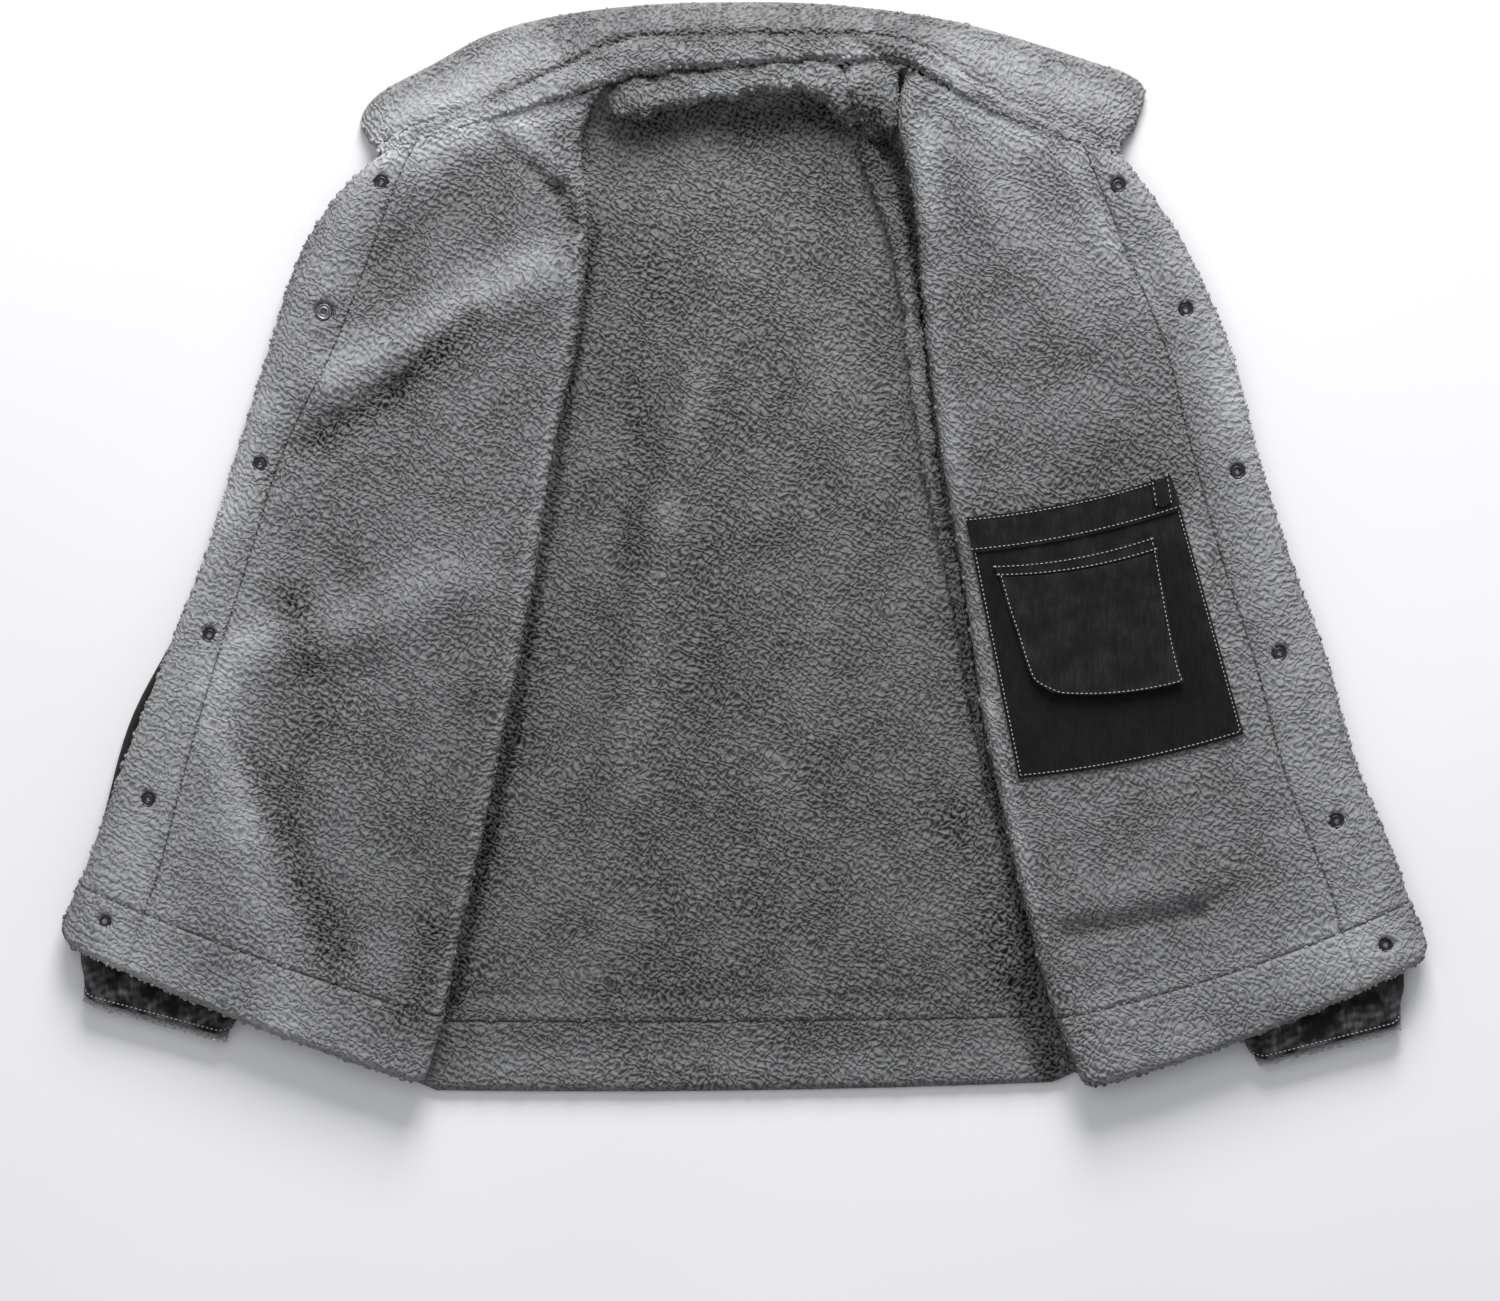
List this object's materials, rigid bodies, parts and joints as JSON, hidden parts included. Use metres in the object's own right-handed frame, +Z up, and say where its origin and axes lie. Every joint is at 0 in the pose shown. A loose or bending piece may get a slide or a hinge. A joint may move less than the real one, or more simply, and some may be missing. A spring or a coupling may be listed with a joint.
{
  "type": "sherpa lined jacket",
  "caption": "Denim jacket laid open on its back, curly fleece lining up, fronts folded outward over the sleeves, collar spread, patch pocket inside the front",
  "frame": {"origin": "middle of the garment's box, on the surface it lies on", "axes": "+X across the jacket towards its wide right front, +Y from the hem to the collar, +Z up out of the surface"},
  "size_m": [0.98, 0.7837, 0.0371],
  "materials": {
    "sherpa_front": "light grey curly fleece pile, matt and soft",
    "sherpa_back": "grey curly fleece pile in the shade of the fronts, matt",
    "denim": "black washed cotton twill with pale grey topstitching",
    "snap_metal": "dull gunmetal"
  },
  "bodies": {
    "root": {"back_hem_lining": "sherpa_back", "back_lining": "sherpa_back", "back_shell": "denim", "coin_flap": "denim", "coin_welt": "denim", "collar_lining": "sherpa_front", "collar_shell": "denim", "collar_stand": "sherpa_front", "cuff_left": "denim", "cuff_right": "denim", "front_facing_left": "sherpa_front", "front_facing_right": "sherpa_front", "front_hem_lining_left": "sherpa_front", "front_hem_lining_right": "sherpa_front", "front_lining_left": "sherpa_front", "front_lining_right": "sherpa_front", "front_shell_left": "denim", "front_shell_right": "denim", "neck_facing": "sherpa_back", "pocket_band": "denim", "pocket_patch": "denim", "pocket_tab": "denim", "shoulder_roll_right": "sherpa_back", "side_ridge_right": "sherpa_back", "sleeve_left": "denim", "sleeve_lining_left": "sherpa_front", "sleeve_lining_right": "sherpa_front", "sleeve_right": "denim", "snap_left_1": "snap_metal", "snap_left_2": "snap_metal", "snap_left_3": "snap_metal", "snap_left_4": "snap_metal", "snap_left_5": "snap_metal", "snap_left_6": "snap_metal", "snap_right_1": "snap_metal", "snap_right_2": "snap_metal", "snap_right_3": "snap_metal", "snap_right_4": "snap_metal", "snap_right_5": "snap_metal", "snap_right_6": "snap_metal"}
  },
  "joints": []
}
